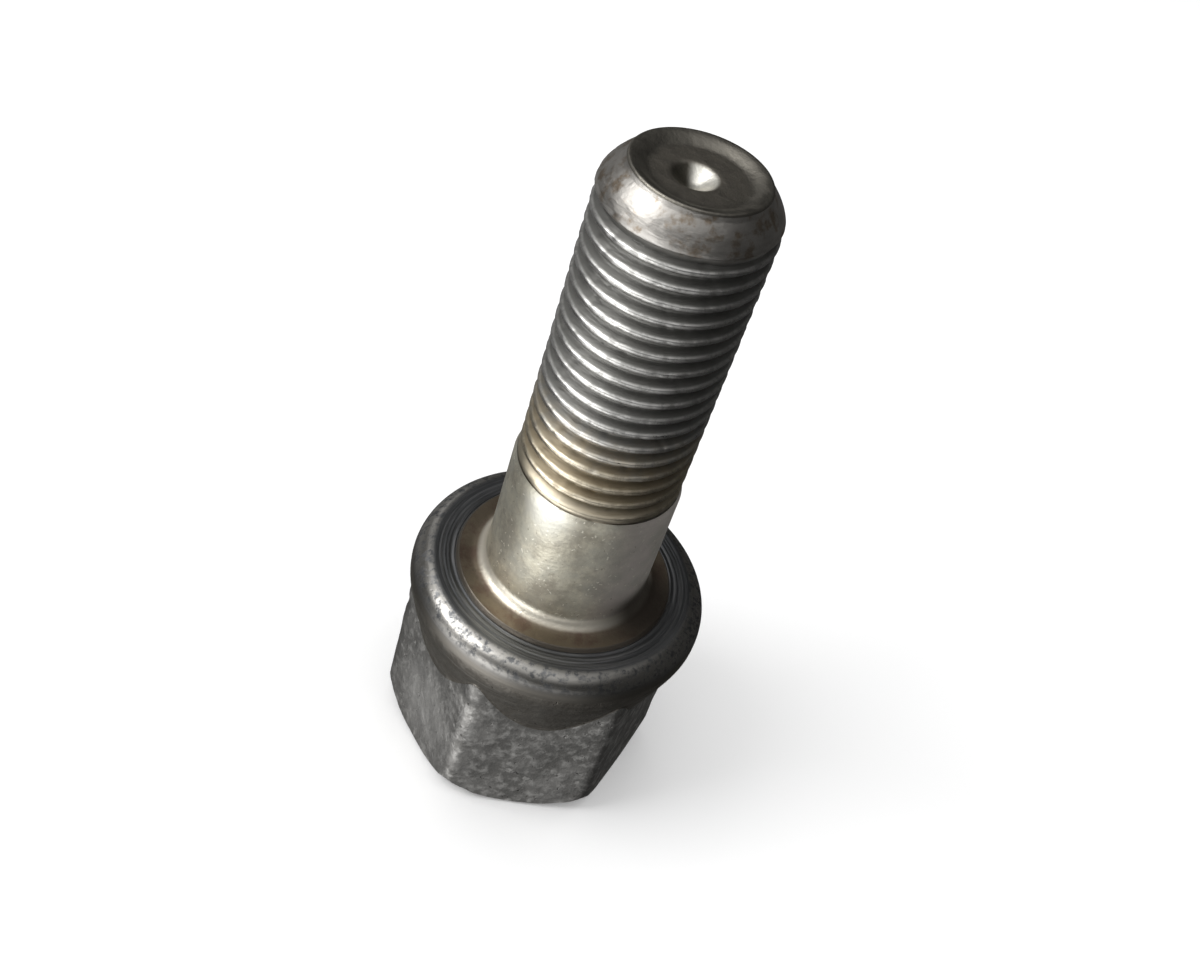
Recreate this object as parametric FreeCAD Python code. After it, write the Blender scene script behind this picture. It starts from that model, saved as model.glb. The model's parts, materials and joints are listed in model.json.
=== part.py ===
"""Wheel bolt for a car: one steel forging that stands on its hexagon head.

The frame has its origin at the centre of the head's end face. +Z runs along the bolt's axis to the tip,
and two corners of the hexagon lie on the X axis. Lengths are in millimetres, angles in degrees.
The thread is modelled as the plain cylinder over its crests.
"""

import math
import os

import FreeCAD
import Part

# Hexagon head
HEX_ACROSS_FLATS = 22.0
HEX_CORNER_RADIUS = 1.0      # rounding of the six upright corners
END_FACE_DIA = 20.6          # flat circle that the bolt stands on
END_EDGE_HEIGHT = 2.6        # height of the barrelled edge round the end face, at the corners
END_EDGE_BULGE = 0.3         # how far that edge swells past a straight chamfer

# Collar with the flat seat that presses on the wheel
HEAD_HEIGHT = 20.5           # end face of the head to the seat
COLLAR_DIA = 26.2
COLLAR_DEPTH = 4.2           # seat to the start of the taper that leads into the flats
COLLAR_TAPER = 24.0          # slope of that taper from the axis
SEAT_EDGE_RADIUS = 1.5       # worn rounding at the outside of the seat
PAD_DIA = 19.1               # raised ring round the shank, inside the wheel's hole
PAD_HEIGHT = 0.35
PAD_EDGE = 0.2               # bevel on the outside of the raised ring

# Shank and thread
BOLT_LENGTH = 41.0           # seat to the rim of the tip
SHANK_DIA = 14.2
SHANK_FILLET = 1.3           # under-head radius
THREAD_DIA = 13.8            # over the crests
THREAD_LENGTH = 28.3         # rim of the tip to the shoulder of the shank
SHOULDER_LENGTH = 0.5        # bevel between the shank and the thread

# Tip
RIM_DIA = 10.3               # sharp rim round the end of the bolt
NECK_DIA = 10.9              # foot of the short neck below the rim
NECK_LENGTH = 0.7
TIP_CHAMFER_LENGTH = 1.5     # neck to the full thread diameter
DISH_DIA = 8.8               # floor of the shallow dish in the end of the bolt
DISH_DEPTH = 0.55
DIMPLE_DIA = 3.1             # centre mark in the dish
DIMPLE_ANGLE = 118.0

# Heights and reaches that follow from the sizes above
SEAT_Z = HEAD_HEIGHT
TIP_Z = SEAT_Z + BOLT_LENGTH
THREAD_END_Z = TIP_Z - THREAD_LENGTH
TAPER_Z = SEAT_Z - COLLAR_DEPTH
HEX_CORNER_REACH = HEX_ACROSS_FLATS / math.sqrt(3)


def point(radius, height):
    """A point of a half section, which lies in the XZ plane."""
    return FreeCAD.Vector(radius, 0, height)


def path(points):
    """Straight edges from each point of a half section to the next."""
    return [Part.LineSegment(point(*a), point(*b)).toShape() for a, b in zip(points, points[1:])]


def arc(start, middle, end):
    return Part.Arc(point(*start), point(*middle), point(*end)).toShape()


def quarter(start, end, centre):
    """The quarter circle from start to end round centre."""
    half = math.sqrt(0.5)
    middle = [c + half * (s - c) + half * (e - c) for s, e, c in zip(start, end, centre)]
    return arc(start, middle, end)


def revolve(edges):
    """Turn a closed half section round the bolt's axis."""
    face = Part.Face(Part.Wire(edges))
    return face.revolve(FreeCAD.Vector(0, 0, 0), FreeCAD.Vector(0, 0, 1), 360)


def end_face_barrel():
    """Body of revolution that rounds off the hexagon's corners at the end face."""
    foot = (END_FACE_DIA / 2, 0)
    brow = (HEX_CORNER_REACH, END_EDGE_HEIGHT)
    middle = ((foot[0] + brow[0]) / 2 + END_EDGE_BULGE, (foot[1] + brow[1]) / 2 - END_EDGE_BULGE)
    section = path([(0, 0), foot])
    section.append(arc(foot, middle, brow))
    section += path([brow, (brow[0], TAPER_Z), (0, TAPER_Z), (0, 0)])
    return revolve(section)


def hexagon():
    """Hexagon prism with rounded upright corners, from the end face up into the collar."""
    corners = []
    for side in range(7):
        turn = math.radians(60 * side)
        corners.append(FreeCAD.Vector(math.cos(turn), math.sin(turn), 0) * HEX_CORNER_REACH)
    prism = Part.Face(Part.makePolygon(corners)).extrude(FreeCAD.Vector(0, 0, TAPER_Z))
    uprights = [edge for edge in prism.Edges if edge.BoundBox.ZLength > TAPER_Z / 2]
    return prism.makeFillet(HEX_CORNER_RADIUS, uprights).common(end_face_barrel())


def collar_section():
    """Half section of the taper, the collar, the seat and the raised ring, up to the fillet's foot."""
    reach = COLLAR_DIA / 2
    buried = HEX_ACROSS_FLATS / 2 - HEX_CORNER_RADIUS
    buried_z = TAPER_Z - (reach - buried) / math.tan(math.radians(COLLAR_TAPER))
    edge_start = (reach, SEAT_Z - SEAT_EDGE_RADIUS)
    edge_end = (reach - SEAT_EDGE_RADIUS, SEAT_Z)
    edge_centre = (edge_end[0], edge_start[1])
    pad = PAD_DIA / 2
    section = path([(0, buried_z), (buried, buried_z), (reach, TAPER_Z), edge_start])
    section.append(quarter(edge_start, edge_end, edge_centre))
    return section + path([edge_end, (pad, SEAT_Z), (pad - PAD_EDGE, SEAT_Z + PAD_HEIGHT)])


def shank_section():
    """Half section of the shank, from the raised ring through its fillet to the thread's end."""
    shank = SHANK_DIA / 2
    pad_z = SEAT_Z + PAD_HEIGHT
    fillet_foot = (shank + SHANK_FILLET, pad_z)
    fillet_top = (shank, pad_z + SHANK_FILLET)
    fillet_centre = (fillet_foot[0], fillet_top[1])
    section = path([(PAD_DIA / 2 - PAD_EDGE, pad_z), fillet_foot])
    section.append(quarter(fillet_foot, fillet_top, fillet_centre))
    return section + path([
        fillet_top,
        (shank, THREAD_END_Z - SHOULDER_LENGTH),
        (THREAD_DIA / 2, THREAD_END_Z),
    ])


def thread_section():
    """Half section of the thread's envelope and of the dished tip with its centre mark."""
    thread = THREAD_DIA / 2
    neck_z = TIP_Z - NECK_LENGTH
    dish_z = TIP_Z - DISH_DEPTH
    dimple = DIMPLE_DIA / 2
    return path([
        (thread, THREAD_END_Z),
        (thread, neck_z - TIP_CHAMFER_LENGTH),
        (NECK_DIA / 2, neck_z),
        (RIM_DIA / 2, TIP_Z),
        (DISH_DIA / 2, dish_z),
        (dimple, dish_z),
        (0, dish_z - dimple / math.tan(math.radians(DIMPLE_ANGLE / 2))),
    ])


def turned_body():
    """Collar, shank and thread as one body of revolution."""
    section = collar_section() + shank_section() + thread_section()
    ends = [section[-1].Vertexes[-1].Point, section[0].Vertexes[0].Point]
    section.append(Part.LineSegment(*ends).toShape())
    return revolve(section)


bolt = turned_body().fuse(hexagon()).removeSplitter()

os.makedirs("parts", exist_ok=True)
bolt.exportStep("parts/wheel_bolt.step")
print("wheel_bolt: valid", bolt.isValid(), "solids", len(bolt.Solids), "volume", round(bolt.Volume, 1))
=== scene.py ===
# %% [markdown]
# # A used wheel bolt
# This lesson dresses one packed steel part, a wheel bolt that stands on its hexagon head. The packed
# model is the fixed frame: it gives the sizes, and nothing here moves or resizes it. We load it first,
# keep its box, and read the heights and radii that the new skin has to follow.

# %% Load the frame
import json
import math
import random

import bmesh
import bpy
import numpy as np
from mathutils import Matrix, Vector, noise


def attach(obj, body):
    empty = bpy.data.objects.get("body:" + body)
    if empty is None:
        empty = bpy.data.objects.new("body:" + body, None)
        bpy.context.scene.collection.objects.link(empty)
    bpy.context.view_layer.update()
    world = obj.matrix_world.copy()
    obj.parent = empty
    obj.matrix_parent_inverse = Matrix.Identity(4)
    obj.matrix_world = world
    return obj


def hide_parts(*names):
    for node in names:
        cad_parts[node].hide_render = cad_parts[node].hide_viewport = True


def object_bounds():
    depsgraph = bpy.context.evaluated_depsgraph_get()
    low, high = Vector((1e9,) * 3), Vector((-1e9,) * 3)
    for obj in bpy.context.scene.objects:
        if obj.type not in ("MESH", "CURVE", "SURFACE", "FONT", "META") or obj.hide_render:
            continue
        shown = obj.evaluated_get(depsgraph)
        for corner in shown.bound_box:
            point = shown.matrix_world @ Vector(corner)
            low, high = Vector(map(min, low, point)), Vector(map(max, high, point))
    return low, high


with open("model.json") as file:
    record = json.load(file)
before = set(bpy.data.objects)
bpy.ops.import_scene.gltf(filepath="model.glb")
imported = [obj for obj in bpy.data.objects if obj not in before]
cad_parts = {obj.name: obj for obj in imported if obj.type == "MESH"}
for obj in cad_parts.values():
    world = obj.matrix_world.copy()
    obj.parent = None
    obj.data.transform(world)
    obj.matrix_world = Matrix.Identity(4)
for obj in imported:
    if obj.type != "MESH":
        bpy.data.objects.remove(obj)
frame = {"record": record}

cad_low, cad_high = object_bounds()
MM = 0.001                                     # all shapes below are drawn in millimetres
print("packed box:", [round(x / MM, 2) for x in cad_high - cad_low])

# %% Sizes that the box and the record give
HAIR = 0.001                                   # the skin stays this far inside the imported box
mounts = {mount["name"]: mount for mount in frame["record"]["mounts"]}


def pin_mount(name):
    """Radius, low end and high end of a round mount that stands upright."""
    radius, length = (mounts[name]["dims"][size] for size in ("r_mm", "length_mm"))
    low = mounts[name]["pos_m"][2] / MM - length / 2
    return radius, low, low + length


TIP_Z = cad_high.z / MM
COLLAR_R = min(cad_high.x, cad_high.y, -cad_low.x, -cad_low.y) / MM - HAIR
SEAT_Z = mounts["seat"]["pos_m"][2] / MM
THREAD_R, THREAD_LOW, THREAD_HIGH = pin_mount("thread")
SHANK_R, SHANK_LOW, SHANK_HIGH = pin_mount("shank")
print("tip", round(TIP_Z, 2), "seat", SEAT_Z, "thread", round(THREAD_LOW, 2), "to", round(THREAD_HIGH, 2))

# %% [markdown]
# ## Helpers for node trees
# Both the thread's shape and every finish are node trees. Building them in code stays readable when a
# short helper adds one node, sets its plain values and links the sockets that it is given. A value that
# is a socket becomes a link, and anything else is typed into the node's own field.

# %% Node helpers
NUMBER, VECTOR = "NodeSocketFloat", "NodeSocketVector"


def is_socket(value):
    return isinstance(value, bpy.types.NodeSocket)


def feed(tree, socket, value):
    """Link a socket, or type a plain value into it."""
    if is_socket(value):
        tree.links.new(value, socket)
    elif value is not None:
        socket.default_value = value


def add(tree, kind, inputs=None, **settings):
    """One node, with its settings and its inputs by name or by place."""
    node = tree.nodes.new(kind)
    for name, value in settings.items():
        setattr(node, name, value)
    for key, value in (inputs or {}).items():
        feed(tree, node.inputs[key], value)
    return node


def new_group(name, kind, inputs, outputs):
    """An empty node group with named sockets. Gives the tree, its input sockets and its output node."""
    tree = bpy.data.node_groups.new(name, kind)
    for direction, sockets in (("INPUT", inputs), ("OUTPUT", outputs)):
        for title, (socket_type, default) in sockets.items():
            socket = tree.interface.new_socket(title, in_out=direction, socket_type=socket_type)
            if default is not None:
                socket.default_value = default
    return tree, tree.nodes.new("NodeGroupInput").outputs, tree.nodes.new("NodeGroupOutput")


# %% Arithmetic helpers
def calc(tree, operation, *values):
    """One step of arithmetic. Gives the socket with the answer."""
    return add(tree, "ShaderNodeMath", dict(enumerate(values)), operation=operation).outputs[0]


def vector_calc(tree, operation, *values, scale=None):
    """One step of vector arithmetic. Gives the node's outputs, Vector or Value."""
    inputs = dict(enumerate(values))
    if scale is not None:
        inputs["Scale"] = scale
    return add(tree, "ShaderNodeVectorMath", inputs, operation=operation).outputs


def ramp(tree, value, low, high, out_low=0.0, out_high=1.0, smooth=True):
    """Map a value from one range to another and hold it at the ends."""
    node = add(tree, "ShaderNodeMapRange", interpolation_type="SMOOTHSTEP" if smooth else "LINEAR")
    for name, number in zip(("Value", "From Min", "From Max", "To Min", "To Max"),
                            (value, low, high, out_low, out_high)):
        feed(tree, node.inputs[name], number)
    return node.outputs["Result"]


# %% [markdown]
# ## The thread
# On the real bolt the thread is rolled: a V groove winds up the shank and leaves a narrow crest between
# its turns. It could be cut with a swept tool, but the shape follows one simple rule, so Geometry Nodes
# can work it out for every point of a grid. The grid's rows lean by one pitch for each turn, so that
# each row runs along the helix and the crests stay crisp. Near the shank the grooves rise to the surface
# and vanish, and near the tip the crests are trimmed by a rounded chamfer.

# %% Sizes of the thread
PITCH = 1.5
GROOVE_DEPTH = 0.8
CREST_WIDTH = 0.26
FLANK_ANGLE = math.radians(30)
CREST_ROUND, ROOT_ROUND, FLOOR_ROUND = 0.1, 0.2, 0.06    # how softly the flanks, roots and ends meet
RUNOUT_LOW = THREAD_LOW + 0.1                  # the groove rises to the surface just above the shoulder
RUNOUT_HIGH = RUNOUT_LOW + 1.2
START_HIGH = TIP_Z - 1.9                       # the groove starts here and is full about 1.5 turns below
START_LOW = START_HIGH - 2.3
NECK_FOOT_Z = TIP_Z - 0.5
NECK_FOOT_R = 5.5
CHAMFER_LOW = THREAD_HIGH - 0.6
CHAMFER_BEND = 1.7                             # above 1 the chamfer starts gently and steepens
CHAMFER_ROUND = 0.08
NICK_DEPTH, NICK_SCALE, NICK_SEED = 0.08, 1.2, 7.0
NICK_FROM, NICK_FULL = 0.5, 0.75               # values of the noise between which a nick deepens
END_ROW = 0.001                                # rows this close to an end belong to it
THREAD_WELD = 0.002
COLUMNS = 180
ROWS_PER_PITCH = 18
GRID_LENGTH = NECK_FOOT_Z - THREAD_LOW + PITCH
ROWS = math.ceil(GRID_LENGTH / PITCH * ROWS_PER_PITCH)
print("thread grid:", COLUMNS, "columns and", ROWS, "rows")


# %% Where each point of the grid goes
def thread_grid(tree, value):
    """A grid and, for its points, the angle, the way up along the helix and the height."""
    grid = add(tree, "GeometryNodeMeshGrid", {
        "Size X": 1.0, "Size Y": 1.0, "Vertices X": COLUMNS + 1, "Vertices Y": ROWS + 1})
    place = add(tree, "ShaderNodeSeparateXYZ", {0: add(tree, "GeometryNodeInputPosition").outputs[0]})
    turn = calc(tree, "ADD", place.outputs["X"], 0.5)
    along = calc(tree, "ADD", place.outputs["Y"], 0.5)
    row = calc(tree, "MULTIPLY", calc(tree, "MULTIPLY", along, ROWS / ROWS_PER_PITCH), value["Pitch"])
    lean = calc(tree, "MULTIPLY", calc(tree, "SUBTRACT", turn, 1.0), value["Pitch"])
    height = calc(tree, "ADD", calc(tree, "ADD", row, lean), value["Bottom"])
    height = calc(tree, "MAXIMUM", calc(tree, "MINIMUM", height, value["Top"]), value["Bottom"])
    return grid.outputs[0], calc(tree, "MULTIPLY", turn, 2 * math.pi), row, height


def round_axis(tree, angle, radius, height):
    """The point at an angle, a distance from the axis and a height."""
    return add(tree, "ShaderNodeCombineXYZ", {
        "X": calc(tree, "MULTIPLY", calc(tree, "COSINE", angle), radius),
        "Y": calc(tree, "MULTIPLY", calc(tree, "SINE", angle), radius),
        "Z": height}).outputs[0]


# %% The groove and the chamfer
def groove_radius(tree, value, row, height):
    """Distance from the axis to the crest, the flank or the root, with run-out and start."""
    phase = calc(tree, "FRACT", calc(tree, "DIVIDE", row, value["Pitch"]))
    off_middle = calc(tree, "ABSOLUTE", calc(tree, "SUBTRACT", phase, 0.5))
    from_crest = calc(tree, "MULTIPLY", off_middle, value["Pitch"])
    drop = calc(tree, "SUBTRACT", from_crest, calc(tree, "MULTIPLY", value["Crest Width"], 0.5))
    drop = calc(tree, "DIVIDE", drop, math.tan(FLANK_ANGLE))
    drop = calc(tree, "SMOOTH_MAX", drop, 0.0, CREST_ROUND)
    drop = calc(tree, "SMOOTH_MIN", drop, value["Groove Depth"], ROOT_ROUND)
    groove = calc(tree, "SUBTRACT", value["Crest Radius"], drop)
    rising = ramp(tree, height, value["Run-out Low"], value["Run-out High"], 0.0, value["Groove Depth"])
    starting = ramp(tree, height, value["Start Low"], value["Start High"], value["Groove Depth"], 0.0)
    floor = calc(tree, "SUBTRACT", value["Crest Radius"], calc(tree, "MINIMUM", rising, starting))
    return calc(tree, "SMOOTH_MAX", groove, floor, FLOOR_ROUND)


def chamfer_radius(tree, value, height):
    """Distance from the axis to the rounded chamfer, which trims the crests at the tip."""
    rise = ramp(tree, height, value["Chamfer Start"], value["Top"], smooth=False)
    bend = calc(tree, "POWER", rise, CHAMFER_BEND)
    narrow = calc(tree, "SUBTRACT", value["Crest Radius"], value["Top Radius"])
    return calc(tree, "SUBTRACT", value["Crest Radius"], calc(tree, "MULTIPLY", bend, narrow))


# %% The wear and the plain ends
def nick_depth(tree, value, angle, height):
    """Depth of the wear, which fades out at both ends of the thread."""
    wear = add(tree, "ShaderNodeTexNoise", {
        "Vector": round_axis(tree, angle, value["Crest Radius"], height),
        "W": value["Seed"], "Scale": NICK_SCALE, "Detail": 3.0}, noise_dimensions="4D")
    nick = ramp(tree, wear.outputs[0], NICK_FROM, NICK_FULL, 0.0, value["Nick Depth"])
    nick = calc(tree, "MULTIPLY", nick, ramp(tree, height, value["Bottom"], value["Run-out High"]))
    return calc(tree, "MULTIPLY", nick, ramp(tree, height, value["Top"], value["Chamfer Start"]))


def plain_ends(tree, value, height, radius):
    """The same distance, but exactly round along both ends, where other skins join on."""
    at_bottom = calc(tree, "LESS_THAN", height, calc(tree, "ADD", value["Bottom"], END_ROW))
    at_top = calc(tree, "GREATER_THAN", height, calc(tree, "SUBTRACT", value["Top"], END_ROW))
    for at_end, end_radius in ((at_bottom, value["Crest Radius"]), (at_top, value["Top Radius"])):
        miss = calc(tree, "SUBTRACT", end_radius, radius)
        radius = calc(tree, "ADD", radius, calc(tree, "MULTIPLY", at_end, miss))
    return radius


# %% The thread's node tree
THREAD_INPUTS = {
    "Pitch": (NUMBER, PITCH),
    "Crest Radius": (NUMBER, THREAD_R),
    "Groove Depth": (NUMBER, GROOVE_DEPTH),
    "Crest Width": (NUMBER, CREST_WIDTH),
    "Bottom": (NUMBER, THREAD_LOW),
    "Top": (NUMBER, NECK_FOOT_Z),
    "Top Radius": (NUMBER, NECK_FOOT_R),
    "Chamfer Start": (NUMBER, CHAMFER_LOW),
    "Run-out Low": (NUMBER, RUNOUT_LOW),
    "Run-out High": (NUMBER, RUNOUT_HIGH),
    "Start Low": (NUMBER, START_LOW),
    "Start High": (NUMBER, START_HIGH),
    "Nick Depth": (NUMBER, NICK_DEPTH),
    "Seed": (NUMBER, NICK_SEED),
    "Material": ("NodeSocketMaterial", None),
}


def thread_tree():
    """The whole rule: a grid, its points moved onto the thread, its seam closed and its finish set."""
    outputs = {"Geometry": ("NodeSocketGeometry", None)}
    tree, value, result = new_group("thread_rule", "GeometryNodeTree", THREAD_INPUTS, outputs)
    grid, angle, row, height = thread_grid(tree, value)
    radius = groove_radius(tree, value, row, height)
    radius = calc(tree, "SMOOTH_MIN", radius, chamfer_radius(tree, value, height), CHAMFER_ROUND)
    radius = calc(tree, "SUBTRACT", radius, nick_depth(tree, value, angle, height))
    radius = plain_ends(tree, value, height, radius)
    point = round_axis(tree, angle, calc(tree, "MULTIPLY", radius, MM), calc(tree, "MULTIPLY", height, MM))
    moved = add(tree, "GeometryNodeSetPosition", {"Geometry": grid, "Position": point})
    closed = add(tree, "GeometryNodeMergeByDistance", {
        "Geometry": moved.outputs[0], "Distance": THREAD_WELD * MM})
    real = add(tree, "GeometryNodeRealizeInstances", {"Geometry": closed.outputs[0]})
    dressed = add(tree, "GeometryNodeSetMaterial", {
        "Geometry": real.outputs[0], "Material": value["Material"]})
    tree.links.new(dressed.outputs[0], result.inputs["Geometry"])
    return tree


# %% Run the tree and keep the result as a plain mesh
def mesh_from_tree(tree, values):
    """Evaluate a geometry tree on an empty carrier and give back a plain mesh."""
    carrier = bpy.data.objects.new("carrier", bpy.data.meshes.new("carrier"))
    bpy.context.scene.collection.objects.link(carrier)
    modifier = carrier.modifiers.new("rule", "NODES")
    modifier.node_group = tree
    for item in tree.interface.items_tree:
        if item.item_type == "SOCKET" and item.in_out == "INPUT" and item.name in values:
            modifier[item.identifier] = values[item.name]
    graph = bpy.context.evaluated_depsgraph_get()
    mesh = bpy.data.meshes.new_from_object(carrier.evaluated_get(graph))
    carrier.modifiers.remove(modifier)
    bpy.data.objects.remove(carrier)
    return mesh


THREAD, SHANK, SEAT, COLLAR, FLAT, TIP = range(6)
finishes = [bpy.data.materials.new(name) for name in (
    "bare_thread_steel", "plated_shank", "worn_seat", "forged_collar", "scuffed_flats", "dull_tip")]
thread_mesh = mesh_from_tree(thread_tree(), {"Material": finishes[THREAD]})
print("thread skin:", len(thread_mesh.vertices), "points,", len(thread_mesh.polygons), "faces")

# %% [markdown]
# ## The forged and turned body
# Everything except the thread is a stack of rings round the axis. On the turned parts a ring is a
# circle. On the head it follows the hexagon, and its height changes round the bolt, so that one ring
# lies exactly along the arc where the collar's taper runs into each flat. A stack of rings keeps these
# edges sharp, which a Boolean of two solids would not do as cleanly. All rings have as many points as
# the thread has columns, so the skins meet point to point.

# %% Sizes of the head
FLATS = 22.0                                   # across the hexagon
CORNER_ROUND = 1.0
HALF_FLAT = math.radians(30)                   # half of the angle that one flat takes up
FOOT_R = 10.3                                  # flat circle that the bolt stands on
FOOT_SHARES = (0.4, 0.75, 0.94, 1.0)           # rings on that circle
BROW_Z = 2.6                                   # height of the rounded edge round it, at the corners
BROW_BULGE = 0.3
LIP = 0.1                                      # the taper overhangs the flats by this much
COLLAR_LOW = SEAT_Z - 4.2
COLLAR_DRAFT = 0.45                            # the collar's side narrows by this much towards the taper
TAPER = math.radians(19.2)
SEAT_EDGE = 1.9                                # the seat's worn edge is this wide
SEAT_DROP = 2.2                                # and falls away by this much
BROW_STEPS, FLAT_STEPS, LIP_STEPS, TAPER_STEPS, COLLAR_STEPS = 8, 30, 3, 14, 10

angles = np.arange(COLUMNS) * 2 * math.pi / COLUMNS
flat_turn = (angles % (2 * HALF_FLAT)) - HALF_FLAT
corner_turn = HALF_FLAT - np.abs(flat_turn)


def hexagon_radius():
    """Distance from the axis to a hexagon with rounded corners, at every column."""
    straight = FLATS / 2 / np.cos(flat_turn)
    centre = (FLATS / 2 - CORNER_ROUND) / math.cos(HALF_FLAT)
    tangent = math.atan2(CORNER_ROUND * math.sin(HALF_FLAT), centre + CORNER_ROUND * math.cos(HALF_FLAT))
    inside = np.clip(CORNER_ROUND**2 - (centre * np.sin(corner_turn))**2, 0, None)
    rounded = centre * np.cos(corner_turn) + np.sqrt(inside)
    return np.where(corner_turn < tangent, rounded, straight)


hexagon = hexagon_radius()
print("hexagon:", round(2 * hexagon.min(), 2), "across flats,", round(2 * hexagon.max(), 2), "across corners")


# %% Helpers for rings
def steps(count):
    """Shares from just above 0 to 1."""
    return np.arange(1, count + 1) / count


def between(start, end, share):
    return start + (end - start) * share


def soft(share):
    """An S-shaped share, for slopes that start and end level."""
    return share * share * (3 - 2 * share)


def circle(radius, height, finish):
    """A ring of one radius at one height."""
    return np.full(COLUMNS, radius), np.full(COLUMNS, height), finish


def arc_through(a, b, c):
    """Centre and radius of the circle through three points."""
    matrix = 2 * np.array([np.subtract(b, a), np.subtract(c, a)])
    right = [np.dot(b, b) - np.dot(a, a), np.dot(c, c) - np.dot(a, a)]
    centre = np.linalg.solve(matrix, right)
    return centre, np.linalg.norm(np.subtract(a, centre))


# %% Rings of the head, from the middle of the end face up to the seat's edge
brow_reach = FLATS / math.sqrt(3)
brow_middle = ((FOOT_R + brow_reach) / 2 + BROW_BULGE, BROW_Z / 2 - BROW_BULGE)
(brow_r, brow_z), brow_round = arc_through((FOOT_R, 0), brow_middle, (brow_reach, BROW_Z))


def head_rings():
    """End face, rounded edge, flats, lip, taper and the collar's side."""
    rings = [circle(FOOT_R * share, 0, FLAT) for share in FOOT_SHARES]
    for share in steps(BROW_STEPS):
        radius = between(FOOT_R, hexagon, share)
        rings.append((radius, brow_z - np.sqrt(brow_round**2 - (radius - brow_r)**2), FLAT))
    brow = rings[-1][1]
    waist = COLLAR_R - COLLAR_DRAFT
    ledge = COLLAR_LOW - (waist - hexagon) / math.tan(TAPER)
    for share in steps(FLAT_STEPS):
        rings.append((hexagon, between(brow, ledge - LIP, share), FLAT))
    for share in steps(LIP_STEPS):
        rings.append((hexagon + LIP * share, ledge - LIP * (1 - share), FLAT))
    for share in steps(TAPER_STEPS):
        height = between(ledge, COLLAR_LOW, share)
        slope = waist - (COLLAR_LOW - height) * math.tan(TAPER)
        rings.append((np.maximum(hexagon + LIP * (1 - share), slope), height, COLLAR))
    for share in steps(COLLAR_STEPS):
        swell = COLLAR_DRAFT * math.sin(share * math.pi / 2)
        rings.append(circle(waist + swell, between(COLLAR_LOW, SEAT_Z - SEAT_DROP, share), COLLAR))
    return rings


print("head:", len(head_rings()), "rings")

# %% Rings of the seat, the raised ring, the fillet and the shank
PAD_R = 9.55                                   # raised ring round the shank
PAD_EDGE = 0.2
PAD_ROUND = 0.08
FILLET = 1.3
PAD_Z = SHANK_LOW - FILLET
GAP_R, GAP_DEPTH = PAD_R + 0.08, 0.06          # fine groove round the raised ring
SEAT_OUTER, SEAT_INNER = COLLAR_R - SEAT_EDGE, PAD_R + 0.15
WEAR_RINGS = ((9.95, 0.18, 0.05), (10.35, 0.1, 0.02), (10.7, 0.16, 0.03), (11.0, 0.1, 0.015))
EDGE_STEPS, SEAT_STEPS, PAD_STEPS, FILLET_STEPS, SHANK_STEPS, SHOULDER_STEPS = 16, 36, 6, 12, 12, 4


def seat_rings():
    """The seat's rounded edge, and the seat with grooves of a radius, a width and a depth worn into it."""
    rings = []
    for share in steps(EDGE_STEPS):
        turn = share * math.pi / 2
        rings.append(circle(COLLAR_R - SEAT_EDGE * (1 - math.cos(turn)),
                            SEAT_Z - SEAT_DROP * (1 - math.sin(turn)), SEAT))
    for share in steps(SEAT_STEPS):
        radius = between(SEAT_OUTER, SEAT_INNER, share)
        worn = sum(depth * math.exp(-((radius - place) / width) ** 2) for place, width, depth in WEAR_RINGS)
        rings.append(circle(radius, SEAT_Z - worn, SEAT))
    return rings + [circle(radius, SEAT_Z - GAP_DEPTH, SEAT) for radius in (GAP_R, PAD_R)]


def shank_rings():
    """Raised ring, fillet, shank and shoulder, up to the thread."""
    rings = [circle(PAD_R - PAD_EDGE * 0.5, PAD_Z - PAD_ROUND, SHANK), circle(PAD_R - PAD_EDGE, PAD_Z, SHANK)]
    for share in steps(PAD_STEPS):
        rings.append(circle(between(PAD_R - PAD_EDGE, SHANK_R + FILLET, share), PAD_Z, SHANK))
    for share in steps(FILLET_STEPS):
        turn = share * math.pi / 2
        rings.append(circle(SHANK_R + FILLET * (1 - math.sin(turn)),
                            PAD_Z + FILLET * (1 - math.cos(turn)), SHANK))
    for share in steps(SHANK_STEPS):
        rings.append(circle(SHANK_R, between(SHANK_LOW, SHANK_HIGH, share), SHANK))
    for share in steps(SHOULDER_STEPS):
        rings.append(circle(between(SHANK_R, THREAD_R, share), between(SHANK_HIGH, THREAD_LOW, share), SHANK))
    return rings


print("seat and shank:", len(seat_rings() + shank_rings()), "rings")

# %% Rings of the tip
RIM_R = 5.3
RIM_ROUND = ((0.03, 0.11), (0.09, 0.04), (0.18, 0.0), (0.32, 0.03))    # inwards from the rim, and down
NECK_TOP_Z = TIP_Z - 0.2
DISH_R = 3.6
DISH_Z = TIP_Z - 0.55
MARK_R, MARK_DEPTH = 1.9, 0.95                 # centre mark in the dish
MARK_BOTTOM_R = 0.1
MARK_BEND = 1.4
MARK_SHIFT = Vector((-0.35, -0.1, 0))          # the centre mark sits a little off the axis
NECK_STEPS, WALL_STEPS, DISH_STEPS, MARK_STEPS = 4, 9, 6, 14


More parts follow.
